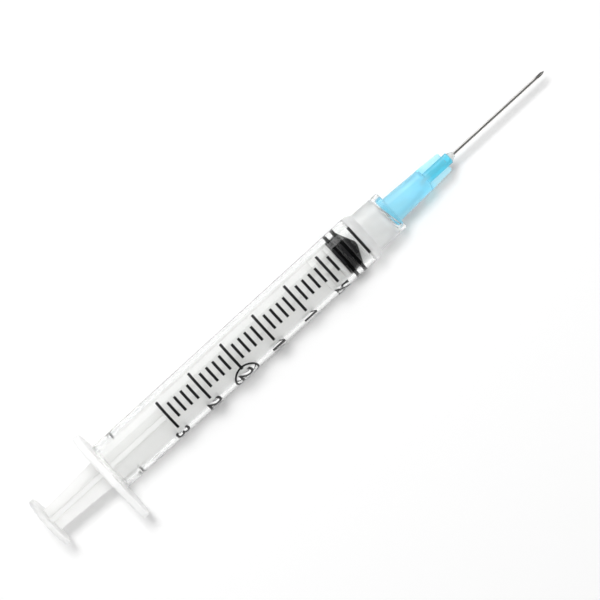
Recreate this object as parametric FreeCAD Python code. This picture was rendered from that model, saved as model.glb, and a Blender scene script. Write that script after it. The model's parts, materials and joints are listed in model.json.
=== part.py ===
# Hypodermic syringe: a 3 mL three-part Luer-lock syringe with a 23 G, 25 mm needle pushed on.
# Millimetres. X runs along the barrel's axis toward the point, Z is up from the surface that
# the syringe lies on, and the origin is on the axis, at the front face of the finger flange.

import FreeCAD
import Part
import math
import os

V = FreeCAD.Vector
ORIGIN = V(0, 0, 0)
X_AXIS = V(1, 0, 0)
Y_AXIS = V(0, 1, 0)

# Gaps between pieces that move on each other
RUN_GAP = 0.03
HEAD_GAP = 0.06
TAPER_GAP = 0.015
BEAD_GAP = 0.1
LUG_GAP = 0.3

# Barrel: 1 mL is 17 mm of this bore, and the bore's straight part ends at the zero line
BORE_R = 4.33
BARREL_WALL = 1.02
BORE_LENGTH = 66.8
NOSE_SLOPE = 0.47
FRONT_OVERHANG = 1.0
SHOULDER_LENGTH = 1.15
SHOULDER_ROUND = 0.9
LEAD_IN = 0.3
BEAD_X = 4.5
BEAD_HEIGHT = 0.18
BEAD_LENGTH = 1.2

# Finger flange: a flat plate with a long wing and a short wing
FLANGE_THICK = 1.5
FLANGE_LIP = 0.65
FLANGE_FLAT = 7.0
LONG_WING = 12.06
SHORT_WING = 9.2
WING_SLOPE = 0.336
WING_ROUND = 4.1
FLANGE_BEND_ROUND = 2.5
FLANGE_EDGE_ROUND = 0.4
FLANGE_ROOT_ROUND = 0.35

# Luer-lock collar and its two thread ridges
COLLAR_BORE_R = 4.0
COLLAR_WALL = 0.65
COLLAR_DRAFT = 0.12
COLLAR_LENGTH = 6.75
COLLAR_WEB = 1.3
COLLAR_RIM_ROUND = 0.25
THREAD_LEAD = 5.0
THREAD_STARTS = 2
THREAD_DEPTH = 0.5
THREAD_ROOT_WIDTH = 1.0
THREAD_CREST_WIDTH = 0.45
THREAD_TURNS = 0.8
THREAD_START_ANGLE = 145
THREAD_RIM_GAP = 0.15
THREAD_SINK = 0.2

# Male Luer tip, with the standard 6 % taper on its diameter
LUER_TAPER = 0.06
TIP_STAND_OUT = 3.6
TIP_END_R = 1.995
TIP_BORE_R = 0.95
TIP_ROUND = 0.25

# Plunger rod
THUMB_R = 5.74
THUMB_THICK = 1.13
THUMB_ROUND = 0.45
ROD_LENGTH = 77.7
RIB_THICK = 1.0
RIB_REAR_HALF = 2.59
RIB_INSET = 0.05
RIB_TAPER_LENGTH = 27.5
ROD_CORE_R = 0.8
DISC_THICK = 1.1
DISC_SPACING = 3.85
DISC_ROUND = 0.2
NECK_R = 1.55
NECK_LENGTH = 1.25
HEAD_BARB = 0.8
HEAD_LAND = 0.4
HEAD_LENGTH = 1.75
HEAD_TIP_R = 1.1

# Stopper, placed by the volume read at its front rib
READING_ML = 0.138
STOPPER_RIB_STEP = 0.2
STOPPER_TIP_R = 0.45
STOPPER_TIP_ROUND = 0.4
STOPPER_RIB = 0.86
STOPPER_GROOVE = 0.98
STOPPER_GROOVE_DEPTH = 0.32
STOPPER_TAIL = 0.38
STOPPER_TAIL_STEP = 0.23
STOPPER_ROUND = 0.13

# Needle hub
HUB_SINK = 1.35
HUB_FLANGE = 1.2
HUB_FLANGE_STEP = 0.14
LUG_WIDTH = 3.5
LUG_ROUND = 0.25
HUB_WALL = 0.71
HUB_BODY_LENGTH = 10.55
HUB_SHOULDER_R = 2.48
HUB_SHOULDER_ROUND = 0.9
FEMALE_DEPTH = 7.15
WELL_R = 1.2
WELL_DEPTH = 1.4
NOSE_WALL = 0.38
NOSE_LENGTH = 6.3
NOSE_ROUND = 0.3
FIN_COUNT = 4
FIN_THICK = 0.7
FIN_LENGTH = 5.1
FIN_DRAFT = 0.315
FIN_ROUND = 0.4

# Cannula, 23 gauge, and the glue that holds it
CANNULA_R = 0.32
CANNULA_WALL = 0.15
CANNULA_LENGTH = 25.4
CANNULA_SEAT = 8.0
BEVEL_ANGLE = 15
LANCET_ANGLE = 24
LANCET_TURN = 42
GLUE_CUP_GAP = 0.53
GLUE_CUP_DEPTH = 1.6
GLUE_BEAD_STEP = 0.15
GLUE_BEAD_LENGTH = 1.1
GLUE_END_THICK = 0.18
GLUE_ROUND = 0.12

# Sizes that follow from the ones above
BARREL_R = BORE_R + BARREL_WALL
BEAD_R = BORE_R - BEAD_HEIGHT
FLANGE_HALF_DEPTH = BARREL_R + FLANGE_LIP
STOPPER_R = BORE_R - RUN_GAP
STOPPER_NOSE_R = STOPPER_R - STOPPER_RIB_STEP
STOPPER_WAIST_R = STOPPER_R - STOPPER_GROOVE_DEPTH
STOPPER_TAIL_R = STOPPER_R - STOPPER_TAIL_STEP
STOPPER_FRONT = BORE_LENGTH - READING_ML * 1000 / (math.pi * BORE_R**2)
STOPPER_REAR = STOPPER_FRONT - 2 * STOPPER_RIB - STOPPER_GROOVE - STOPPER_TAIL
DISC_R = BEAD_R - BEAD_GAP
DISC_FRONT = STOPPER_REAR - RUN_GAP
ROD_REAR = DISC_FRONT - ROD_LENGTH
RIB_FRONT_HALF = DISC_R - RIB_INSET
HEAD_R = NECK_R + HEAD_BARB
HEAD_REAR = DISC_FRONT + NECK_LENGTH
HEAD_FRONT = HEAD_REAR + HEAD_LENGTH
COLLAR_R = COLLAR_BORE_R + COLLAR_WALL
COLLAR_START = BORE_LENGTH + FRONT_OVERHANG + SHOULDER_LENGTH
COLLAR_FLOOR = BORE_LENGTH + NOSE_SLOPE * (BORE_R - TIP_END_R) + COLLAR_WEB
COLLAR_RIM = COLLAR_START + COLLAR_LENGTH
THREAD_CREST_R = COLLAR_BORE_R - THREAD_DEPTH
TIP_END = COLLAR_RIM + TIP_STAND_OUT
HUB_REAR = COLLAR_RIM - HUB_SINK
FEMALE_MOUTH_R = TIP_END_R + LUER_TAPER / 2 * (TIP_END - HUB_REAR) + TAPER_GAP
FEMALE_END = HUB_REAR + FEMALE_DEPTH
LUG_TIP_R = COLLAR_BORE_R - LUG_GAP
HUB_BODY_R = FEMALE_MOUTH_R + HUB_WALL
HUB_SHOULDER = HUB_REAR + HUB_BODY_LENGTH
NOSE_END = HUB_SHOULDER + NOSE_LENGTH
GLUE_CUP_R = CANNULA_R + GLUE_CUP_GAP
NOSE_R = GLUE_CUP_R + NOSE_WALL
CANNULA_REAR = NOSE_END - CANNULA_SEAT
CANNULA_TIP = NOSE_END + CANNULA_LENGTH


def rounded_corner(before, corner, after, radius):
    """The start, middle and end of the arc that rounds a corner."""
    back = (before - corner).normalize()
    ahead = (after - corner).normalize()
    inward = (back + ahead).normalize()
    half = back.getAngle(ahead) / 2
    reach = radius / math.tan(half)
    centre = corner + inward * (radius / math.sin(half))
    return corner + back * reach, centre - inward * radius, corner + ahead * reach


def outline(points):
    """A closed wire through (x, y) or (x, y, corner radius) points of the XY plane."""
    corners = [V(point[0], point[1], 0) for point in points]
    runs = []
    for i, point in enumerate(points):
        before, after = corners[i - 1], corners[(i + 1) % len(points)]
        sharp = len(point) == 2
        runs.append((corners[i],) if sharp else rounded_corner(before, corners[i], after, point[2]))
    edges = []
    for i, run in enumerate(runs):
        if len(run) == 3:
            edges.append(Part.Arc(*run).toShape())
        edges.append(Part.LineSegment(run[-1], runs[(i + 1) % len(runs)][0]).toShape())
    return Part.Wire(edges)


def turned(points):
    """A solid of revolution about X, from the (x, r) points of its outline."""
    return Part.Face(outline(points)).revolve(ORIGIN, X_AXIS, 360)


def plate_along(points, thickness):
    """A plate of an (x, y) outline, centred on the XY plane."""
    plate = Part.Face(outline(points)).extrude(V(0, 0, thickness))
    plate.translate(V(0, 0, -thickness / 2))
    return plate


def plate_across(points, start, thickness):
    """A plate of a (y, z) outline, square to the axis, from an X onward."""
    plate = Part.Face(outline(points)).extrude(V(0, 0, thickness))
    plate.Placement = FreeCAD.Placement(V(start, 0, 0), FreeCAD.Rotation(Y_AXIS, V(0, 0, 1), X_AXIS, "XYZ"))
    return plate


def rod(start, end, radius):
    return Part.makeCylinder(radius, end - start, V(start, 0, 0), X_AXIS)


def about_axis(shape, angle):
    copy = shape.copy()
    copy.rotate(ORIGIN, X_AXIS, angle)
    return copy


def flange_side(reach):
    """One side of a wing's outline, from the flat edge to the wing's end."""
    end_half = FLANGE_HALF_DEPTH - WING_SLOPE * (abs(reach) - FLANGE_FLAT / 2)
    bend = math.copysign(FLANGE_FLAT / 2, reach)
    return [(bend, FLANGE_HALF_DEPTH, FLANGE_BEND_ROUND), (reach, end_half, min(WING_ROUND, end_half))]


def finger_flange():
    top = flange_side(SHORT_WING)[::-1] + flange_side(-LONG_WING)
    under = [(y, -z, radius) for y, z, radius in top[::-1]]
    plate = plate_across(top + under, -FLANGE_THICK, FLANGE_THICK)
    faces = [face for face in plate.Faces if face.BoundBox.XLength < 1e-6]
    return plate.makeFillet(FLANGE_EDGE_ROUND, [edge for face in faces for edge in face.Edges])


def barrel_outside():
    collar_rim_r = COLLAR_R - COLLAR_DRAFT
    tube_end = BORE_LENGTH + FRONT_OVERHANG
    return turned([
        (-FLANGE_THICK / 2, 0),
        (-FLANGE_THICK / 2, BARREL_R),
        (tube_end, BARREL_R, SHOULDER_ROUND),
        (COLLAR_START, COLLAR_R, SHOULDER_ROUND / 2),
        (COLLAR_RIM, collar_rim_r, COLLAR_RIM_ROUND),
        (COLLAR_RIM, 0),
    ])


def round_flange_root(body):
    """Rounds the inside corner where the barrel leaves the flange."""
    root = [
        edge for edge in body.Edges
        if edge.BoundBox.XLength < 1e-6 and abs(edge.CenterOfMass.x) < 1e-6
        and abs(edge.BoundBox.YMax - BARREL_R) < 1e-3
    ]
    return body.makeFillet(FLANGE_ROOT_ROUND, root)


def barrel_bore():
    bead_start = BEAD_X - BEAD_LENGTH / 2
    bead_end = BEAD_X + BEAD_LENGTH / 2
    nose_end = BORE_LENGTH + NOSE_SLOPE * (BORE_R - TIP_BORE_R)
    return turned([
        (-FLANGE_THICK, 0),
        (-FLANGE_THICK, BORE_R + LEAD_IN),
        (-FLANGE_THICK + LEAD_IN, BORE_R),
        (bead_start, BORE_R, BEAD_HEIGHT),
        (BEAD_X, BEAD_R, BEAD_LENGTH / 2),
        (bead_end, BORE_R, BEAD_HEIGHT),
        (BORE_LENGTH, BORE_R),
        (nose_end, TIP_BORE_R),
        (TIP_END, TIP_BORE_R),
        (TIP_END, 0),
    ])


def tip_radius(x):
    return TIP_END_R + LUER_TAPER / 2 * (TIP_END - x)


def luer_tip():
    root = COLLAR_FLOOR - COLLAR_WEB / 2
    return turned([
        (root, 0),
        (root, tip_radius(root)),
        (TIP_END, TIP_END_R, TIP_ROUND),
        (TIP_END, 0),
    ])


def thread_ridge(start_angle):
    """One start of the lock thread, a trapezoid on a right-hand helix inside the collar."""
    length = THREAD_TURNS * THREAD_LEAD
    front = COLLAR_RIM - COLLAR_RIM_ROUND - THREAD_RIM_GAP - THREAD_ROOT_WIDTH / 2
    root_r = COLLAR_BORE_R + THREAD_SINK
    corners = [
        (root_r, -THREAD_ROOT_WIDTH / 2),
        (COLLAR_BORE_R, -THREAD_ROOT_WIDTH / 2),
        (THREAD_CREST_R, -THREAD_CREST_WIDTH / 2),
        (THREAD_CREST_R, THREAD_CREST_WIDTH / 2),
        (COLLAR_BORE_R, THREAD_ROOT_WIDTH / 2),
        (root_r, THREAD_ROOT_WIDTH / 2),
    ]
    section = Part.makePolygon([V(r, 0, z) for r, z in corners + corners[:1]])
    helix = Part.makeHelix(THREAD_LEAD, length, COLLAR_BORE_R)
    ridge = Part.Wire(helix.Edges).makePipeShell([section], True, True)
    ridge.rotate(ORIGIN, Y_AXIS, 90)
    ridge.translate(V(front - length, 0, 0))
    # the helix starts on -Z after that turn, so its front end is THREAD_TURNS further round
    return about_axis(ridge, start_angle + 90 - 360 * THREAD_TURNS)


def barrel():
    collar_bore = rod(COLLAR_FLOOR, COLLAR_RIM, COLLAR_BORE_R)
    body = round_flange_root(barrel_outside().fuse(finger_flange()))
    body = body.cut(collar_bore).fuse(luer_tip()).cut(barrel_bore())
    for start in range(THREAD_STARTS):
        body = body.fuse(thread_ridge(THREAD_START_ANGLE + start * 360 / THREAD_STARTS))
    return body.removeSplitter()


def disc(front):
    return turned([
        (front - DISC_THICK, 0),
        (front - DISC_THICK, DISC_R, DISC_ROUND),
        (front, DISC_R, DISC_ROUND),
        (front, 0),
    ])


def rod_ribs():
    """A pair of ribs across the axis, wider toward the front."""
    rear = ROD_REAR + THUMB_THICK / 2
    taper_end = ROD_REAR + THUMB_THICK + RIB_TAPER_LENGTH
    rear_half = RIB_REAR_HALF - (RIB_FRONT_HALF - RIB_REAR_HALF) * THUMB_THICK / 2 / RIB_TAPER_LENGTH
    front = DISC_FRONT - DISC_THICK / 2
    top = [(rear, rear_half), (taper_end, RIB_FRONT_HALF), (front, RIB_FRONT_HALF)]
    under = [(x, -half) for x, half in top[::-1]]
    return plate_along(top + under, RIB_THICK)


def thumb_rest():
    inner = ROD_REAR + THUMB_THICK
    return turned([
        (ROD_REAR, 0),
        (ROD_REAR, THUMB_R, THUMB_ROUND),
        (inner, THUMB_R, THUMB_ROUND),
        (inner, 0),
    ])


def barbed_head():
    return turned([
        (DISC_FRONT - DISC_THICK / 2, 0),
        (DISC_FRONT - DISC_THICK / 2, NECK_R),
        (HEAD_REAR, NECK_R),
        (HEAD_REAR, HEAD_R),
        (HEAD_REAR + HEAD_LAND, HEAD_R),
        (HEAD_FRONT, HEAD_TIP_R),
        (HEAD_FRONT, 0),
    ])


def plunger_rod():
    ribs = rod_ribs()
    core = rod(ROD_REAR + THUMB_THICK / 2, DISC_FRONT - DISC_THICK / 2, ROD_CORE_R)
    pieces = [about_axis(ribs, 90), core, thumb_rest(), disc(DISC_FRONT), disc(DISC_FRONT - DISC_SPACING)]
    return ribs.multiFuse(pieces + [barbed_head()]).removeSplitter()


def stopper_outside():
    nose_tip = STOPPER_FRONT + NOSE_SLOPE * (STOPPER_NOSE_R - STOPPER_TIP_R)
    rib_rear = STOPPER_FRONT - STOPPER_RIB
    rear_rib = rib_rear - STOPPER_GROOVE
    tail = rear_rib - STOPPER_RIB
    return turned([
        (STOPPER_REAR, 0),
        (STOPPER_REAR, STOPPER_TAIL_R, STOPPER_ROUND),
        (tail, STOPPER_TAIL_R),
        (tail, STOPPER_R, STOPPER_ROUND),
        (rear_rib, STOPPER_R, STOPPER_ROUND),
        (rear_rib, STOPPER_WAIST_R, STOPPER_ROUND),
        (rib_rear, STOPPER_WAIST_R, STOPPER_ROUND),
        (rib_rear, STOPPER_R, STOPPER_ROUND),
        (STOPPER_FRONT, STOPPER_R, (STOPPER_R - STOPPER_NOSE_R) / 2),
        (STOPPER_FRONT, STOPPER_NOSE_R),
        (nose_tip, STOPPER_TIP_R, STOPPER_TIP_ROUND),
        (nose_tip, 0),
    ])


def stopper_cavity():
    neck_end = HEAD_REAR - HEAD_GAP
    return turned([
        (STOPPER_REAR, 0),
        (STOPPER_REAR, NECK_R + HEAD_GAP),
        (neck_end, NECK_R + HEAD_GAP),
        (neck_end, HEAD_R + HEAD_GAP),
        (HEAD_REAR + HEAD_LAND, HEAD_R + HEAD_GAP),
        (HEAD_FRONT + HEAD_GAP, HEAD_TIP_R + HEAD_GAP),
        (HEAD_FRONT + HEAD_GAP, 0),
    ])


def stopper():
    return stopper_outside().cut(stopper_cavity())


def hub_lugs():
    strip = [
        (-LUG_TIP_R, -LUG_WIDTH / 2),
        (LUG_TIP_R, -LUG_WIDTH / 2),
        (LUG_TIP_R, LUG_WIDTH / 2),
        (-LUG_TIP_R, LUG_WIDTH / 2),
    ]
    round_end = turned([
        (HUB_REAR, 0),
        (HUB_REAR, LUG_TIP_R, LUG_ROUND),
        (HUB_REAR + HUB_FLANGE, LUG_TIP_R, LUG_ROUND),
        (HUB_REAR + HUB_FLANGE, 0),
    ])
    return plate_across(strip, HUB_REAR, HUB_FLANGE).common(round_end)


def hub_outside():
    flange_end = HUB_REAR + HUB_FLANGE
    return turned([
        (HUB_REAR, 0),
        (HUB_REAR, HUB_BODY_R + HUB_FLANGE_STEP, LUG_ROUND),
        (flange_end, HUB_BODY_R + HUB_FLANGE_STEP),
        (flange_end, HUB_BODY_R),
        (HUB_SHOULDER, HUB_SHOULDER_R, HUB_SHOULDER_ROUND),
        (HUB_SHOULDER, NOSE_R),
        (NOSE_END, NOSE_R, NOSE_ROUND),
        (NOSE_END, 0),
    ])


def hub_fin():
    """One fin, from inside the shoulder forward, level with the body where it starts."""
    slope = FIN_DRAFT / FIN_LENGTH
    start = HUB_SHOULDER - HUB_SHOULDER_ROUND
    end = HUB_SHOULDER + FIN_LENGTH
    return plate_along([
        (start, 0),
        (start, HUB_SHOULDER_R + slope * HUB_SHOULDER_ROUND),
        (end, HUB_SHOULDER_R - FIN_DRAFT, FIN_ROUND),
        (end, 0),
    ], FIN_THICK)


def hub_inside():
    female_end_r = FEMALE_MOUTH_R - LUER_TAPER / 2 * FEMALE_DEPTH
    well_end = FEMALE_END + WELL_DEPTH
    cup = NOSE_END - GLUE_CUP_DEPTH
    return turned([
        (HUB_REAR, 0),
        (HUB_REAR, FEMALE_MOUTH_R),
        (FEMALE_END, female_end_r),
        (FEMALE_END, WELL_R),
        (well_end, WELL_R),
        (well_end, CANNULA_R),
        (cup, CANNULA_R),
        (cup, GLUE_CUP_R),
        (NOSE_END, GLUE_CUP_R),
        (NOSE_END, 0),
    ])


def needle_hub():
    fins = [about_axis(hub_fin(), 360 / FIN_COUNT * i) for i in range(FIN_COUNT)]
    return hub_outside().multiFuse([hub_lugs()] + fins).cut(hub_inside()).removeSplitter()


def grind(angle, turn):
    """What one flat grind takes off the point: a block above a plane that slopes down to the tip."""
    size = 40 * CANNULA_R
    ahead = CANNULA_R * (1 - math.cos(math.radians(turn))) / math.tan(math.radians(angle))
    block = Part.makeBox(2 * size, 2 * size, size, V(-size, -size, 0))
    block.rotate(ORIGIN, Y_AXIS, angle)
    block.translate(V(CANNULA_TIP + ahead, 0, -CANNULA_R))
    return about_axis(block, turn)


def cannula():
    bore = rod(CANNULA_REAR, CANNULA_TIP, CANNULA_R - CANNULA_WALL)
    tube = rod(CANNULA_REAR, CANNULA_TIP, CANNULA_R).cut(bore)
    grinds = [grind(BEVEL_ANGLE, 0), grind(LANCET_ANGLE, LANCET_TURN), grind(LANCET_ANGLE, -LANCET_TURN)]
    return tube.cut(grinds)


def needle_adhesive():
    cup = NOSE_END - GLUE_CUP_DEPTH
    bead_end = NOSE_END + GLUE_BEAD_LENGTH
    return turned([
        (cup, CANNULA_R),
        (cup, GLUE_CUP_R),
        (NOSE_END, GLUE_CUP_R),
        (NOSE_END, GLUE_CUP_R + GLUE_BEAD_STEP),
        (bead_end, CANNULA_R + GLUE_END_THICK, GLUE_ROUND),
        (bead_end, CANNULA_R),
    ])


PIECES = [barrel, plunger_rod, stopper, needle_hub, cannula, needle_adhesive]

os.makedirs("parts", exist_ok=True)
for make in PIECES:
    shape = make()
    print(make.__name__, shape.isValid(), len(shape.Solids), round(shape.Volume, 2))
    shape.exportStep(f"parts/{make.__name__}.step")
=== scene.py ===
# %% [markdown]
# A 3 mL syringe with its needle, lying on a white table.
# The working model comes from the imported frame: six pieces on four moving bodies.
# This lesson dresses them. It prints the scale on the barrel, gives each piece the plastic,
# rubber or steel of the real one, and sets up the table, the light and the camera.
# Everything is in metres, and X runs along the barrel toward the point.

# %% Load the frame
import bpy
import bmesh
import json
import math
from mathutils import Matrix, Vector


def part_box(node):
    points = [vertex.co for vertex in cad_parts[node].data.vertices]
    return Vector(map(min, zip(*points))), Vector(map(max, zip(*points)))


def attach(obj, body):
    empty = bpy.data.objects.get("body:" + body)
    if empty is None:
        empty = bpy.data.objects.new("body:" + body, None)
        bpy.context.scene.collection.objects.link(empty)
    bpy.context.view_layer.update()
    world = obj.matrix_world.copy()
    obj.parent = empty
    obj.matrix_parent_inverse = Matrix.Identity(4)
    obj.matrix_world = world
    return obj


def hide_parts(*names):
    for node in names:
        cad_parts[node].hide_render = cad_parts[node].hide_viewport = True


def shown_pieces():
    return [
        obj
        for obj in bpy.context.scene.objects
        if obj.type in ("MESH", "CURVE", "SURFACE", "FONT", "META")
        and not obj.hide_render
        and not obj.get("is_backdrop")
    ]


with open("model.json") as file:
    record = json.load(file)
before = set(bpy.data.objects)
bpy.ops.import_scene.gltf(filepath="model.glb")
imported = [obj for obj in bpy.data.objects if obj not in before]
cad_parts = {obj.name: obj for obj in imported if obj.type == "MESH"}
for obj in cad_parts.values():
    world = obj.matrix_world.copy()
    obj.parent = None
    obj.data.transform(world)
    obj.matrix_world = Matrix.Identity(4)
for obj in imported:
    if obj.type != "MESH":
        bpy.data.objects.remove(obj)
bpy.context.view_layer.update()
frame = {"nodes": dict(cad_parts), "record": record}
MM = 0.001
print("nodes:", sorted(frame["nodes"]))

# %% [markdown]
# The barrel's radius is read from the frame: it is the one its clamp mount states. The bore's radius and the
# zero line are given, and the zero line is where the bore's straight part ends. The bore decides how far
# apart the marks are: one millilitre is 1000 cubic millimetres, so the marks stand that volume over the
# bore's area apart.

# %% Sizes of the barrel and its bore
mounts = {mount["name"]: mount for mount in frame["record"]["mounts"]}
BARREL_R = mounts["barrel_body"]["dims"]["r_mm"] * MM
BORE_R = 4.33 * MM
ZERO_X = 66.8 * MM
CUBIC_MM_PER_ML = 1000
ML_TRAVEL = CUBIC_MM_PER_ML * MM**3 / (math.pi * BORE_R**2)
print("one millilitre is", round(ML_TRAVEL / MM, 2), "mm of travel")

# %% [markdown]
# A material is a small program of nodes. These helpers keep each one short: `make_material`
# starts a material with one Principled shader, and `add` puts a node in and sets its inputs.
# The helpers are written once, because every finish below uses them.

# %% Helpers for materials
def make_material(name, **values):
    """A new material with one Principled shader, whose plain inputs are set by name."""
    material = bpy.data.materials.new(name)
    material.use_nodes = True
    shader = material.node_tree.nodes["Principled BSDF"]
    for key, value in values.items():
        shader.inputs[key.replace("_", " ")].default_value = value
    return material, material.node_tree, shader


def add(tree, kind, settings=None, **inputs):
    """A node in a tree, with its settings and its inputs by name."""
    node = tree.nodes.new(kind)
    for key, value in (settings or {}).items():
        setattr(node, key, value)
    for key, value in inputs.items():
        node.inputs[key.replace("_", " ")].default_value = value
    return node


def join(tree, source, target):
    tree.links.new(source, target)


def feed(tree, value, target):
    """Sets an input, with a link from a socket or with a plain value."""
    if hasattr(value, "is_output"):
        join(tree, value, target)
    else:
        target.default_value = value


def maths(tree, operation, *values):
    """A Math node on sockets or numbers."""
    node = add(tree, "ShaderNodeMath", {"operation": operation})
    for target, value in zip(node.inputs, values):
        feed(tree, value, target)
    return node.outputs["Value"]


# %% [markdown]
# Moulded plastic, rubber and drawn steel are never quite even: the surface waves a little and
# its gloss changes from place to place. One shader group makes that for every material here.
# It mixes a broad and a fine noise into one mask, which drives the gloss and a small bump.
# A group is the right tool, because a change to it changes all the finishes alike.

# %% The shared unevenness group
BROAD_SCALE = 200
FINE_SCALE = 2500
FINE_SHARE = 0.5
BUMP_HEIGHT = 0.02 * MM


def uneven_group():
    """Noise in two sizes, as a mask from 0 to 1."""
    group = bpy.data.node_groups.new("uneven_surface", "ShaderNodeTree")
    face = group.interface
    for name, value in (("Broad", BROAD_SCALE), ("Fine", FINE_SCALE), ("Share", FINE_SHARE)):
        face.new_socket(name, in_out="INPUT", socket_type="NodeSocketFloat").default_value = value
    face.new_socket("Mask", in_out="OUTPUT", socket_type="NodeSocketFloat")
    place = add(group, "ShaderNodeTexCoord")
    given = add(group, "NodeGroupInput")
    out = add(group, "NodeGroupOutput")
    broad = add(group, "ShaderNodeTexNoise")
    fine = add(group, "ShaderNodeTexNoise")
    mix = add(group, "ShaderNodeMix")
    join(group, place.outputs["Object"], broad.inputs["Vector"])
    join(group, place.outputs["Object"], fine.inputs["Vector"])
    join(group, given.outputs["Broad"], broad.inputs["Scale"])
    join(group, given.outputs["Fine"], fine.inputs["Scale"])
    join(group, given.outputs["Share"], mix.inputs["Factor"])
    join(group, broad.outputs["Fac"], mix.inputs["A"])
    join(group, fine.outputs["Fac"], mix.inputs["B"])
    join(group, mix.outputs["Result"], out.inputs["Mask"])
    return group


UNEVEN = uneven_group()


def uneven(tree, shader, roughness, bump, broad=BROAD_SCALE, fine=FINE_SCALE, share=FINE_SHARE):
    """Drives a shader's bump and roughness from the shared group, and returns the roughness."""
    group = add(tree, "ShaderNodeGroup", {"node_tree": UNEVEN}, Broad=broad, Fine=fine, Share=share)
    gloss = add(tree, "ShaderNodeMapRange", To_Min=roughness[0], To_Max=roughness[1])
    join(tree, group.outputs["Mask"], gloss.inputs["Value"])
    join(tree, gloss.outputs["Result"], shader.inputs["Roughness"])
    relief = add(tree, "ShaderNodeBump", Strength=bump, Distance=BUMP_HEIGHT)
    join(tree, group.outputs["Mask"], relief.inputs["Height"])
    join(tree, relief.outputs["Normal"], shader.inputs["Normal"])
    return gloss.outputs["Result"]


# %% [markdown]
# A clear barrel on a table stands in its own light. A real one focuses that light and its
# shadow stays pale, but a renderer that follows light from the lamps only sees an obstacle.
# The usual way out is kept in one helper: for rays that only ask whether a lamp is hidden,
# the surface counts as a see-through film with a tint, and for all other rays it stays real
# plastic. Each plastic has its own tint, which is darker the cloudier the plastic is.

# %% A helper for light through clear pieces
def mix_shaders(tree, share, first, second):
    """The first shader, with a share of the second one."""
    mix = add(tree, "ShaderNodeMixShader")
    for target, source in zip(mix.inputs, (share, first, second)):
        join(tree, source, target)
    return mix.outputs["Shader"]


def let_lamps_through(tree, shader, tint):
    """A shader that lamps shine through with a tint."""
    path = add(tree, "ShaderNodeLightPath")
    film = add(tree, "ShaderNodeBsdfTransparent", Color=tint)
    return mix_shaders(tree, path.outputs["Is Shadow Ray"], shader.outputs["BSDF"], film.outputs["BSDF"])


def finish_surface(tree, surface):
    join(tree, surface, tree.nodes["Material Output"].inputs["Surface"])


# %% [markdown]
# The barrel is clear polypropylene. A thin wall of it is clear, but it scatters a little light
# inside, so thick places such as the flange look milky. The mould polishes the tube and leaves
# the flange and the Luer collar a little frosted.
# Two Principled shaders make it, one clear and one milky. A colour ramp along X says how much
# of each there is, and a second one says how frosted the surface is. A ramp is the right tool,
# because its stops are places along the barrel: each pair is a place in millimetres and a value.

# %% Clear barrel
PLASTIC_IOR = 1.49
SCATTER_DEPTH = 5 * MM
CLEAR_LETS = (0.92, 0.92, 0.92, 1)
MILKY_LETS = (0.5, 0.5, 0.5, 1)
RAMP_SPAN = (-1.5, 75.7)
MILK = (
    (-1.5, 0.98), (0.0, 0.98), (0.8, 0.08), (16.0, 0.0), (66.6, 0.0),
    (67.2, 0.55), (68.8, 0.5), (69.8, 0.42), (73.2, 0.42), (74.2, 0.02),
)
FROST = (
    (-1.5, 0.4), (0.0, 0.4), (0.8, 0.03), (14.0, 0.0), (66.8, 0.0),
    (67.4, 0.2), (68.8, 0.2), (69.8, 0.08), (73.2, 0.08), (74.2, 0.0),
)


def along_x(tree, span):
    """How far along X a point is, from 0 to 1 over a span in millimetres."""
    place = add(tree, "ShaderNodeTexCoord")
    split = add(tree, "ShaderNodeSeparateXYZ")
    part = add(tree, "ShaderNodeMapRange", From_Min=span[0] * MM, From_Max=span[1] * MM)
    join(tree, place.outputs["Object"], split.inputs["Vector"])
    join(tree, split.outputs["X"], part.inputs["Value"])
    return part.outputs["Result"]


def profile(tree, stops):
    """A value that follows stops along the barrel."""
    ramp = add(tree, "ShaderNodeValToRGB")
    join(tree, along_x(tree, RAMP_SPAN), ramp.inputs["Fac"])
    elements = ramp.color_ramp.elements
    elements.remove(elements[1])
    low, high = RAMP_SPAN
    for i, (place, value) in enumerate(stops):
        position = (place - low) / (high - low)
        element = elements.new(position) if i else elements[0]
        element.position = position
        element.color = (value, value, value, 1)
    return ramp.outputs["Color"]


def clear_plastic():
    material, tree, clear = make_material(
        "clear_polypropylene", Base_Color=(0.97, 0.975, 0.97, 1), IOR=PLASTIC_IOR, Transmission_Weight=1.0)
    polish = uneven(tree, clear, roughness=(0.02, 0.06), bump=0.05, broad=120, fine=900, share=0.3)
    join(tree, maths(tree, "MAXIMUM", polish, profile(tree, FROST)), clear.inputs["Roughness"])
    milky = add(
        tree, "ShaderNodeBsdfPrincipled", Base_Color=(0.965, 0.97, 0.96, 1), IOR=PLASTIC_IOR, Roughness=0.35,
        Subsurface_Weight=1.0, Subsurface_Radius=(1, 1, 1), Subsurface_Scale=SCATTER_DEPTH)
    open_clear = let_lamps_through(tree, clear, CLEAR_LETS)
    open_milky = let_lamps_through(tree, milky, MILKY_LETS)
    finish_surface(tree, mix_shaders(tree, profile(tree, MILK), open_clear, open_milky))
    return material


# %% [markdown]
# The plunger rod is white polypropylene, so light goes a little way into it and comes out
# again. Subsurface scattering does that. The stopper is rubber filled with soot, which takes
# in nearly all light. Its oiled skin lies on the clear wall, and plastic, oil and rubber bend
# light almost alike, so it hardly mirrors anything: its specular level is close to nothing.

# %% White rod and black rubber
ROD_LETS = (0.6, 0.6, 0.6, 1)


def white_plastic():
    material, tree, shader = make_material(
        "white_polypropylene", Base_Color=(0.85, 0.85, 0.835, 1), IOR=PLASTIC_IOR,
        Subsurface_Weight=1.0, Subsurface_Radius=(1, 1, 1), Subsurface_Scale=SCATTER_DEPTH)
    uneven(tree, shader, roughness=(0.3, 0.5), bump=0.15)
    finish_surface(tree, let_lamps_through(tree, shader, ROD_LETS))
    return material


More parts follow.
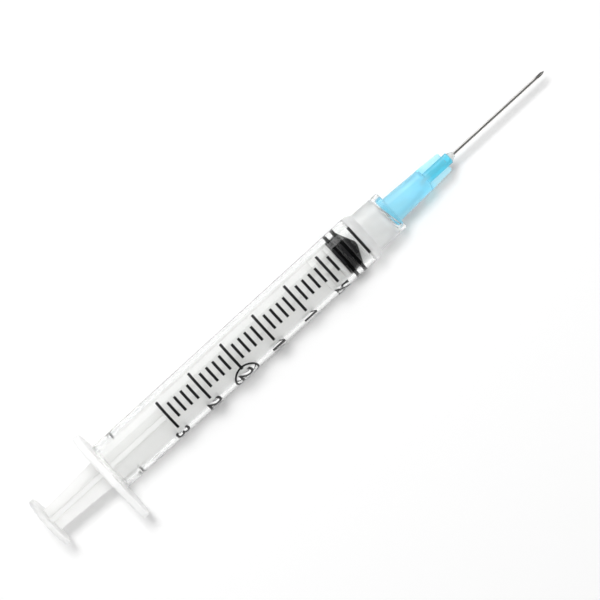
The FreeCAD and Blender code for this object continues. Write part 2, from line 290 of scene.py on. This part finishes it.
def black_rubber():
    material, tree, shader = make_material(
        "black_rubber", Base_Color=(0.0015, 0.0015, 0.0017, 1), Specular_IOR_Level=0.04)
    uneven(tree, shader, roughness=(0.3, 0.55), bump=0.2, fine=4000)
    return material


# %% [markdown]
# The hub's colour names the needle's gauge: light blue is 23 gauge. It is tinted, slightly
# cloudy plastic. A volume inside takes a share of the red from light for each millimetre, and
# the surface gives the cloudy part of the colour. On the real hub that is deepest at the rim
# with the lugs, and on the nose it is pale on the thin fins and deep on the core.
# X tells the rim and the nose apart, and so does a ruler. A fin and the core share their X,
# but the core's surface faces away from the axis and a fin's flat face doesn't, so the angle
# between the surface's direction and the spoke through the point tells those two apart.
# The glue is nearly clear. The tube is drawn steel, and its fine scratches scatter a little
# light, so it is not quite a full mirror.

# %% Blue hub, glue and steel
LUG_SPAN = (75.2, 75.7)
NOSE_SPAN = (84.6, 86.0)
LUG_BLUE = (0.26, 0.8, 1.0, 1)
BODY_BLUE = (0.46, 0.86, 1.0, 1)
CORE_BLUE = (0.2, 0.76, 0.93, 1)
FIN_BLUE = (0.72, 0.92, 0.98, 1)
BLUE_TINT = (0.15, 0.88, 0.97, 1)
BLUE_DENSITY = 300
HUB_LETS = (0.8, 0.69, 0.66, 1)
GLUE_LETS = (0.9, 0.9, 0.9, 1)
GLUE_IOR = 1.5
# Where a Mix node keeps the sockets for colours, after those for numbers and vectors.
MIX_SHARE = 0
MIX_FIRST = 6
MIX_SECOND = 7
MIX_RESULT = 2


def blend(tree, share, first, second):
    """A colour between two, each of them plain or a socket."""
    mix = add(tree, "ShaderNodeMix", {"data_type": "RGBA"})
    feed(tree, share, mix.inputs[MIX_SHARE])
    feed(tree, first, mix.inputs[MIX_FIRST])
    feed(tree, second, mix.inputs[MIX_SECOND])
    return mix.outputs[MIX_RESULT]


def faces_out(tree):
    """1 where a surface faces away from the X axis, 0 on the flat face of a fin."""
    place = add(tree, "ShaderNodeTexCoord")
    spoke = add(tree, "ShaderNodeVectorMath", {"operation": "MULTIPLY"})
    spoke.inputs[1].default_value = (0, 1, 1)
    unit = add(tree, "ShaderNodeVectorMath", {"operation": "NORMALIZE"})
    along = add(tree, "ShaderNodeVectorMath", {"operation": "DOT_PRODUCT"})
    join(tree, place.outputs["Object"], spoke.inputs[0])
    join(tree, spoke.outputs["Vector"], unit.inputs[0])
    join(tree, unit.outputs["Vector"], along.inputs[0])
    join(tree, place.outputs["Normal"], along.inputs[1])
    return maths(tree, "ABSOLUTE", along.outputs["Value"])


def blue_plastic():
    material, tree, shader = make_material(
        "light_blue_polypropylene", IOR=PLASTIC_IOR, Transmission_Weight=0.6)
    uneven(tree, shader, roughness=(0.12, 0.22), bump=0.1)
    nose = blend(tree, faces_out(tree), FIN_BLUE, CORE_BLUE)
    body = blend(tree, along_x(tree, LUG_SPAN), LUG_BLUE, BODY_BLUE)
    join(tree, blend(tree, along_x(tree, NOSE_SPAN), body, nose), shader.inputs["Base Color"])
    finish_surface(tree, let_lamps_through(tree, shader, HUB_LETS))
    tint = add(tree, "ShaderNodeVolumeAbsorption", Color=BLUE_TINT, Density=BLUE_DENSITY)
    join(tree, tint.outputs["Volume"], tree.nodes["Material Output"].inputs["Volume"])
    return material


def clear_glue():
    material, tree, shader = make_material(
        "clear_glue", Base_Color=(0.95, 0.95, 0.93, 1), IOR=GLUE_IOR, Transmission_Weight=0.6)
    uneven(tree, shader, roughness=(0.1, 0.25), bump=0.1)
    finish_surface(tree, let_lamps_through(tree, shader, GLUE_LETS))
    return material


def drawn_steel():
    material, tree, shader = make_material(
        "drawn_steel", Base_Color=(0.6, 0.59, 0.57, 1), Metallic=0.88)
    uneven(tree, shader, roughness=(0.2, 0.4), bump=0.1, broad=500, fine=6000)
    return material


FINISHES = {
    "barrel": clear_plastic(),
    "plunger_rod": white_plastic(),
    "stopper": black_rubber(),
    "needle_hub": blue_plastic(),
    "needle_adhesive": clear_glue(),
    "cannula": drawn_steel(),
}
for node, finish in FINISHES.items():
    frame["nodes"][node].data.materials.clear()
    frame["nodes"][node].data.materials.append(finish)
print("finishes:", len(FINISHES))

# %% [markdown]
# A real stopper is wider than the bore, and its two ribs are squeezed flat on the wall. The
# working model leaves a small gap there, which would mirror light and make the ribs look thin.
# So the visible stopper is a copy whose ribs reach just past the wall's surface: from a
# radius a little below the ribs' own, every corner moves outward, the widest ones the most.
# The working mesh is loose triangles, so the copy's corners are merged first, which closes it.

# %% Stopper squeezed into the bore
RIB_SQUEEZE = 0.02 * MM
SQUEEZED_DEPTH = 0.1 * MM
SHARP_ANGLE = math.radians(30)
SAME_PLACE = 1e-7


def add_object(name, data):
    piece = bpy.data.objects.new(name, data)
    bpy.context.scene.collection.objects.link(piece)
    return piece


def merged_copy(source, name):
    """A copy of a mesh with its corners merged, smooth where it is round."""
    shape = bmesh.new()
    shape.from_mesh(source)
    bmesh.ops.remove_doubles(shape, verts=shape.verts[:], dist=SAME_PLACE)
    mesh = bpy.data.meshes.new(name)
    shape.to_mesh(mesh)
    shape.free()
    mesh.materials.append(source.materials[0])
    mesh.shade_smooth()
    mesh.set_sharp_from_angle(angle=SHARP_ANGLE)
    return mesh


def squeezed_stopper():
    mesh = merged_copy(frame["nodes"]["stopper"].data, "squeezed_stopper")
    widest = max(math.hypot(vert.co.y, vert.co.z) for vert in mesh.vertices)
    push = BORE_R + RIB_SQUEEZE - widest
    for vert in mesh.vertices:
        radius = math.hypot(vert.co.y, vert.co.z)
        share = (radius - widest + SQUEEZED_DEPTH) / SQUEEZED_DEPTH
        if share > 0:
            vert.co.y *= 1 + share * push / radius
            vert.co.z *= 1 + share * push / radius
    return add_object("squeezed_stopper", mesh)


stopper = squeezed_stopper()
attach(stopper, "stopper")
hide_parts("stopper")
print("stopper:", len(stopper.data.polygons), "faces")

# %% [markdown]
# The scale is ink, printed by rolling the barrel against a plate. It is a thin raised film.
# Ink is nearly black and slightly glossy, and its gloss is uneven where it laps the plastic.

# %% Ink
INK_THICK = 0.012 * MM
INK_LIFT = 0.004 * MM


def printing_ink():
    material, tree, shader = make_material("printing_ink", Base_Color=(0.008, 0.008, 0.009, 1))
    uneven(tree, shader, roughness=(0.35, 0.6), bump=0.1, fine=5000)
    return material


INK = printing_ink()

# %% [markdown]
# The marks repeat: a short line every tenth of a millilitre and a long one every half.
# A modifier with Geometry Nodes suits that, because one line is made once and copied along
# the barrel, and its sizes stay open to change. A line is a thin subdivided box. Its Y is
# turned into an angle around the barrel, which bends the box onto the tube and keeps it closed.

# %% The tree that prints the marks
LINE_CORNERS = 25


def new_tree(name, sizes):
    """A Geometry Nodes tree with one named input for each size, and its input and output nodes."""
    tree = bpy.data.node_groups.new(name, "GeometryNodeTree")
    tree.interface.new_socket("Geometry", in_out="OUTPUT", socket_type="NodeSocketGeometry")
    for key, kind in sizes.items():
        tree.interface.new_socket(key, in_out="INPUT", socket_type=kind)
    return tree, add(tree, "NodeGroupInput"), add(tree, "NodeGroupOutput")


def bent_line(tree, given, arc):
    """A thin box, as long as an arc in degrees, bent around the barrel."""
    size = add(tree, "ShaderNodeCombineXYZ")
    join(tree, given.outputs["Line width"], size.inputs["X"])
    join(tree, maths(tree, "RADIANS", given.outputs[arc]), size.inputs["Y"])
    join(tree, given.outputs["Ink thickness"], size.inputs["Z"])
    box = add(tree, "GeometryNodeMeshCube", Vertices_Y=LINE_CORNERS)
    join(tree, size.outputs["Vector"], box.inputs["Size"])
    place = add(tree, "GeometryNodeInputPosition")
    split = add(tree, "ShaderNodeSeparateXYZ")
    join(tree, place.outputs["Position"], split.inputs["Vector"])
    radius = maths(tree, "ADD", given.outputs["Radius"], split.outputs["Z"])
    bend = add(tree, "ShaderNodeCombineXYZ")
    join(tree, split.outputs["X"], bend.inputs["X"])
    for way, turn in (("Y", "SINE"), ("Z", "COSINE")):
        part = maths(tree, turn, split.outputs["Y"])
        join(tree, maths(tree, "MULTIPLY", radius, part), bend.inputs[way])
    move = add(tree, "GeometryNodeSetPosition")
    join(tree, box.outputs["Mesh"], move.inputs["Geometry"])
    join(tree, bend.outputs["Vector"], move.inputs["Position"])
    return move.outputs["Geometry"]


def marks_tree():
    sizes = {
        "Zero place": "NodeSocketFloat",
        "Spacing": "NodeSocketFloat",
        "Marks": "NodeSocketInt",
        "Long every": "NodeSocketInt",
        "Radius": "NodeSocketFloat",
        "Line width": "NodeSocketFloat",
        "Short arc": "NodeSocketFloat",
        "Long arc": "NodeSocketFloat",
        "Ink thickness": "NodeSocketFloat",
        "Ink": "NodeSocketMaterial",
    }
    tree, given, out = new_tree("scale_marks", sizes)
    start = add(tree, "ShaderNodeCombineXYZ")
    step = add(tree, "ShaderNodeCombineXYZ")
    row = add(tree, "GeometryNodeMeshLine")
    join(tree, given.outputs["Zero place"], start.inputs["X"])
    join(tree, maths(tree, "MULTIPLY", given.outputs["Spacing"], -1), step.inputs["X"])
    join(tree, start.outputs["Vector"], row.inputs["Start Location"])
    join(tree, step.outputs["Vector"], row.inputs["Offset"])
    join(tree, given.outputs["Marks"], row.inputs["Count"])
    index = add(tree, "GeometryNodeInputIndex")
    left = maths(tree, "MODULO", index.outputs["Index"], given.outputs["Long every"])
    is_long = maths(tree, "COMPARE", left, 0)
    is_short = maths(tree, "SUBTRACT", 1, is_long)
    both = add(tree, "GeometryNodeJoinGeometry")
    for arc, chosen in (("Long arc", is_long), ("Short arc", is_short)):
        copies = add(tree, "GeometryNodeInstanceOnPoints")
        join(tree, row.outputs["Mesh"], copies.inputs["Points"])
        join(tree, bent_line(tree, given, arc), copies.inputs["Instance"])
        join(tree, chosen, copies.inputs["Selection"])
        join(tree, copies.outputs["Instances"], both.inputs["Geometry"])
    real = add(tree, "GeometryNodeRealizeInstances")
    ink = add(tree, "GeometryNodeSetMaterial")
    join(tree, both.outputs["Geometry"], real.inputs["Geometry"])
    join(tree, real.outputs["Geometry"], ink.inputs["Geometry"])
    join(tree, given.outputs["Ink"], ink.inputs["Material"])
    join(tree, ink.outputs["Geometry"], out.inputs["Geometry"])
    return tree


# %% [markdown]
# The tree runs as a modifier on an empty mesh. Its inputs are set by their identifiers, and
# the finished marks are then taken out as a plain mesh, because only that can be exported.
# The line's width and arcs are those of the print: a long line goes a fifth of the way round.

# %% Print the marks
SCALE_ML = 3
MARKS_PER_ML = 10
MARKS_PER_LONG = 5
LINE_WIDTH = 0.57 * MM
SHORT_ARC = 39.0
LONG_ARC = 76.6


def grow(name, tree, values):
    """Runs a tree once and returns its result as an object with a plain mesh."""
    carrier = add_object(name + "_carrier", bpy.data.meshes.new(name + "_carrier"))
    modifier = carrier.modifiers.new("grow", "NODES")
    modifier.node_group = tree
    for item in tree.interface.items_tree:
        if item.in_out == "INPUT":
            modifier[item.identifier] = values[item.name]
    graph = bpy.context.evaluated_depsgraph_get()
    mesh = bpy.data.meshes.new_from_object(carrier.evaluated_get(graph))
    carrier.modifiers.clear()
    bpy.data.objects.remove(carrier)
    return add_object(name, mesh)


marks = grow("scale_marks", marks_tree(), {
    "Zero place": ZERO_X,
    "Spacing": ML_TRAVEL / MARKS_PER_ML,
    "Marks": SCALE_ML * MARKS_PER_ML + 1,
    "Long every": MARKS_PER_LONG,
    "Radius": BARREL_R + INK_LIFT + INK_THICK / 2,
    "Line width": LINE_WIDTH,
    "Short arc": SHORT_ARC,
    "Long arc": LONG_ARC,
    "Ink thickness": INK_THICK,
    "Ink": INK,
})
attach(marks, "barrel")
print("marks:", len(marks.data.polygons), "faces")

# %% [markdown]
# The numerals stand beside the long marks and read upright when the needle points up.
# Each is a text object turned into a mesh. Flat letters would cut into the round barrel,
# so their faces are first sliced into narrow strips, and then every corner is moved onto
# the tube: a step to the reader's right becomes a turn around the barrel.

# %% Helpers that wrap flat shapes onto the barrel
SLICE = 0.2 * MM


def slice_up(shape):
    """Cuts a flat mesh along X into strips narrow enough to bend."""
    low = min(vert.co.x for vert in shape.verts)
    high = max(vert.co.x for vert in shape.verts)
    for i in range(1, int((high - low) / SLICE) + 1):
        cut = (low + i * SLICE, 0, 0)
        everything = shape.verts[:] + shape.edges[:] + shape.faces[:]
        bmesh.ops.bisect_plane(shape, geom=everything, plane_co=cut, plane_no=(1, 0, 0))


def thicken(shape):
    """Gives a flat mesh the thickness of the ink, closed all round."""
    bmesh.ops.recalc_face_normals(shape, faces=shape.faces[:])
    made = bmesh.ops.extrude_face_region(shape, geom=shape.faces[:], use_keep_orig=True)
    lifted = [item for item in made["geom"] if isinstance(item, bmesh.types.BMVert)]
    bmesh.ops.translate(shape, verts=lifted, vec=(0, 0, INK_THICK))
    bmesh.ops.recalc_face_normals(shape, faces=shape.faces[:])


def wrap(shape, place, angle):
    """Moves a flat shape onto the barrel: X to its right, Y toward the needle."""
    for vert in shape.verts:
        right, up, height = vert.co
        radius = BARREL_R + INK_LIFT + height
        turn = angle + right / BARREL_R
        vert.co = Vector((place + up, -radius * math.sin(turn), radius * math.cos(turn)))


def printed(shape, name):
    """Ends a shape and returns it as a mesh in ink."""
    mesh = bpy.data.meshes.new(name)
    shape.to_mesh(mesh)
    shape.free()
    mesh.materials.append(INK)
    return mesh


# %% [markdown]
# Blender's own font is plain enough, once it is made wider and a little bolder. Its figure
# one lacks the small stroke at the top left that the print has, so that is added as one face.
# The numeral 2 stands in a ring, which is a flat band of faces wrapped in the same way.

# %% Numerals and the ring
NUMERALS = ("½", "1", "1½", "2", "2½", "3")
NUMERALS_PER_ML = 2
NUMERAL_SIZE = 4.4 * MM
NUMERAL_WIDTH = 1.45
NUMERAL_WEIGHT = 0.07 * MM
NUMERAL_ANGLE = math.radians(61.0)
NUMERAL_STEPS = 6
DIGIT_CENTRE = 0.25 * NUMERAL_SIZE
FLAG_DROP = 0.8 * MM
FLAG_REACH = 0.55 * MM
FLAG_WIDTH = 0.45 * MM
RINGED = "2"
RING_R = 2.75 * MM
RING_WIDTH = 0.45 * MM
RING_ANGLE = math.radians(62.5)
RING_SEGMENTS = 96


def add_flag(shape):
    """The small slanted stroke at the top left of a figure one, which the font leaves out."""
    left = min(vert.co.x for vert in shape.verts)
    top = max(vert.co.y for vert in shape.verts if vert.co.x < left + FLAG_WIDTH)
    corners = [(left, top), (left - FLAG_REACH, top - FLAG_DROP)]
    corners += [(x, y - FLAG_WIDTH) for x, y in reversed(corners)]
    shape.faces.new([shape.verts.new((x, y, 0)) for x, y in corners])


def flat_text(words):
    """Text as a flat mesh: the middle of its first digit at X 0 and its middle height at Y 0."""
    curve = bpy.data.curves.new("numeral", "FONT")
    curve.body = words
    curve.size = NUMERAL_SIZE
    curve.resolution_u = NUMERAL_STEPS
    curve.offset = NUMERAL_WEIGHT
    carrier = add_object("numeral", curve)
    graph = bpy.context.evaluated_depsgraph_get()
    mesh = bpy.data.meshes.new_from_object(carrier.evaluated_get(graph))
    shape = bmesh.new()
    shape.from_mesh(mesh)
    bpy.data.objects.remove(carrier)
    bmesh.ops.remove_doubles(shape, verts=shape.verts[:], dist=SAME_PLACE)
    if words.startswith("1"):
        add_flag(shape)
    heights = [vert.co.y for vert in shape.verts]
    middle = (min(heights) + max(heights)) / 2
    bmesh.ops.translate(shape, verts=shape.verts[:], vec=(-DIGIT_CENTRE, -middle, 0))
    bmesh.ops.scale(shape, verts=shape.verts[:], vec=(NUMERAL_WIDTH, 1, 1))
    return shape


def flat_ring():
    """A flat ring about the origin."""
    shape = bmesh.new()
    turns = [2 * math.pi * i / RING_SEGMENTS for i in range(RING_SEGMENTS)]
    loops = []
    for radius in (RING_R - RING_WIDTH / 2, RING_R + RING_WIDTH / 2):
        loops.append([shape.verts.new((radius * math.cos(a), radius * math.sin(a), 0)) for a in turns])
    inner, outer = loops
    for i in range(RING_SEGMENTS):
        j = (i + 1) % RING_SEGMENTS
        shape.faces.new((inner[i], outer[i], outer[j], inner[j]))
    return shape


def print_numerals():
    whole = bmesh.new()
    for i, words in enumerate(NUMERALS):
        place = ZERO_X - (i + 1) * ML_TRAVEL / NUMERALS_PER_ML
        shapes = [(flat_text(words), NUMERAL_ANGLE)]
        if words == RINGED:
            shapes.append((flat_ring(), RING_ANGLE))
        for shape, angle in shapes:
            slice_up(shape)
            thicken(shape)
            wrap(shape, place, angle)
            whole.from_mesh(printed(shape, "numeral"))
    return add_object("scale_numerals", printed(whole, "scale_numerals"))


numerals = print_numerals()
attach(numerals, "barrel")
print("numerals:", len(numerals.data.polygons), "faces")

# %% [markdown]
# The syringe lies on the long edge of its flange and on the front of its barrel, so the table
# leans a little in this frame. The table is a large white plane, and it keeps the shadow.
# Where it is seen, also in gloss or through plastic, a share of plain white is added, so that
# it is a touch brighter than the lamps make it, as in a bright studio.

# %% Table
FRONT_X = 67.0 * MM
FLANGE_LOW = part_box("barrel")[0][2]
TABLE_RISE = (-BARREL_R - FLANGE_LOW) / FRONT_X
TABLE_REACH = 1.5
TABLE_GAP = 0.01 * MM
TABLE_GLOW = 0.1


def table_material():
    material, tree, shader = make_material("white_table", Base_Color=(0.98, 0.98, 0.98, 1), Roughness=0.7)
    path = add(tree, "ShaderNodeLightPath")
    seen = maths(tree, "MAXIMUM", path.outputs["Is Camera Ray"], path.outputs["Is Transmission Ray"])
    seen = maths(tree, "MAXIMUM", seen, path.outputs["Is Glossy Ray"])
    share = maths(tree, "MULTIPLY", seen, TABLE_GLOW)
    glow = add(tree, "ShaderNodeEmission", Color=(1, 1, 1, 1), Strength=1.0)
    finish_surface(tree, mix_shaders(tree, share, shader.outputs["BSDF"], glow.outputs["Emission"]))
    return material


def make_table():
    level = FLANGE_LOW - TABLE_GAP
    corners = []
    for x, y in ((-1, -1), (1, -1), (1, 1), (-1, 1)):
        height = level + TABLE_RISE * x * TABLE_REACH
        corners.append((x * TABLE_REACH, y * TABLE_REACH, height))
    mesh = bpy.data.meshes.new("table")
    mesh.from_pydata(corners, [], [(0, 1, 2, 3)])
    mesh.materials.append(table_material())
    plane = add_object("table", mesh)
    plane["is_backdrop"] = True
    return plane


table = make_table()
print("table rise:", round(math.degrees(math.atan(TABLE_RISE)), 2), "degrees")

# %% [markdown]
# The photograph is taken from straight above with a long lens. The camera stands over the
# middle of the picture, turned so that the needle points up and to the right. The lens
# follows from the distance and from how wide the picture is at the barrel's axis.

# %% Camera
VIEW_TURN = math.radians(42.4)
VIEW_CENTRE = Vector((50.33 * MM, -0.91 * MM, 0))
VIEW_DISTANCE = 572 * MM
VIEW_WIDTH = 118.76 * MM
SENSOR = 36.0
NEAREST = 10 * MM


def make_camera():
    data = bpy.data.cameras.new("camera")
    data.sensor_width = SENSOR
    data.lens = SENSOR * VIEW_DISTANCE / VIEW_WIDTH
    data.clip_start = NEAREST
    camera = add_object("camera", data)
    camera.location = VIEW_CENTRE + Vector((0, 0, VIEW_DISTANCE))
    camera.rotation_euler = (0, 0, -VIEW_TURN)
    bpy.context.scene.camera = camera
    print("lens:", round(data.lens, 1), "mm")


make_camera()

# %% [markdown]
# Product light is soft. Here it comes from above and a little from the picture's upper left.
# A photographer shades some lamps with black cards, so that one lamp lights the table and
# others light the object. Light linking does the same: each lamp has a list of what it lights.
# The table lamp gives the close, soft shadow. The key and fill lamps light the syringe from
# both sides, so its white plastic stays even. The side lamp stands low and brightens the edge
# of every piece but the rod, which it would wash out. Only the side lamp shows in gloss, and
# no lamp is seen through the plastic.
# The white room fills the rest, and is a little dimmer on the far side. It is brighter through
# clear plastic than in a mirror: a ray that has passed the barrel sees white surroundings.

# %% Light
# Each lamp's place, its width in metres and its power in watts.
TABLE_LAMP = (Vector((0.05, 0.25, 0.66)), 0.2, 3.8)
KEY_LAMP = (Vector((0.2, 0.16, 0.62)), 0.3, 1.42)
FILL_LAMP = (Vector((0.05, -0.22, 0.6)), 0.4, 2.5)
SIDE_LAMP = (Vector((0.05, 0.72, 0.3)), 0.5, 2.1)
# How bright the room is as light, in a mirror, and on its dim side.
ROOM_LIGHT = 0.43
ROOM_MIRROR = 0.02
ROOM_DIM_SIDE = 0.6


def soft_lamp(name, place, width, power):
    data = bpy.data.lights.new(name, "AREA")
    data.size = width
    data.energy = power
    lamp = add_object(name, data)
    lamp.location = place
    lamp.rotation_euler = (VIEW_CENTRE - place).to_track_quat("-Z", "Y").to_euler()
    return lamp


def only_lights(lamp, pieces):
    """Gives a lamp its list of what it lights."""
    lit = bpy.data.collections.new(lamp.name + "_lights")
    for piece in pieces:
        lit.objects.link(piece)
    lamp.light_linking.receiver_collection = lit


def white_room():
    world = bpy.data.worlds.new("room")
    world.use_nodes = True
    tree = world.node_tree
    back = tree.nodes["Background"]
    back.inputs["Color"].default_value = (1, 1, 1, 1)
    path = add(tree, "ShaderNodeLightPath")
    seen = maths(tree, "MAXIMUM", path.outputs["Is Camera Ray"], path.outputs["Is Transmission Ray"])
    mirror = maths(tree, "MULTIPLY", path.outputs["Is Glossy Ray"], ROOM_MIRROR - ROOM_LIGHT)
    level = maths(tree, "ADD", mirror, ROOM_LIGHT)
    place = add(tree, "ShaderNodeTexCoord")
    split = add(tree, "ShaderNodeSeparateXYZ")
    side = add(tree, "ShaderNodeMapRange", From_Min=-1, From_Max=0, To_Min=ROOM_DIM_SIDE, To_Max=1)
    join(tree, place.outputs["Generated"], split.inputs["Vector"])
    join(tree, split.outputs["Y"], side.inputs["Value"])
    bright = maths(tree, "MAXIMUM", seen, level)
    join(tree, maths(tree, "MULTIPLY", bright, side.outputs["Result"]), back.inputs["Strength"])
    bpy.context.scene.world = world


def make_light():
    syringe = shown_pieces()
    all_but_rod = [piece for piece in syringe if "plunger_rod" not in piece.name]
    lamps = (
        ("table_lamp", TABLE_LAMP, [table]),
        ("key", KEY_LAMP, syringe),
        ("fill", FILL_LAMP, syringe),
        ("side", SIDE_LAMP, all_but_rod),
    )
    for name, (place, width, power), pieces in lamps:
        lamp = soft_lamp(name, place, width, power)
        lamp.visible_transmission = False
        lamp.visible_glossy = name == "side"
        only_lights(lamp, pieces)
    white_room()
    print("pieces lit:", len(syringe))


make_light()
bpy.context.scene.view_settings.view_transform = "Standard"
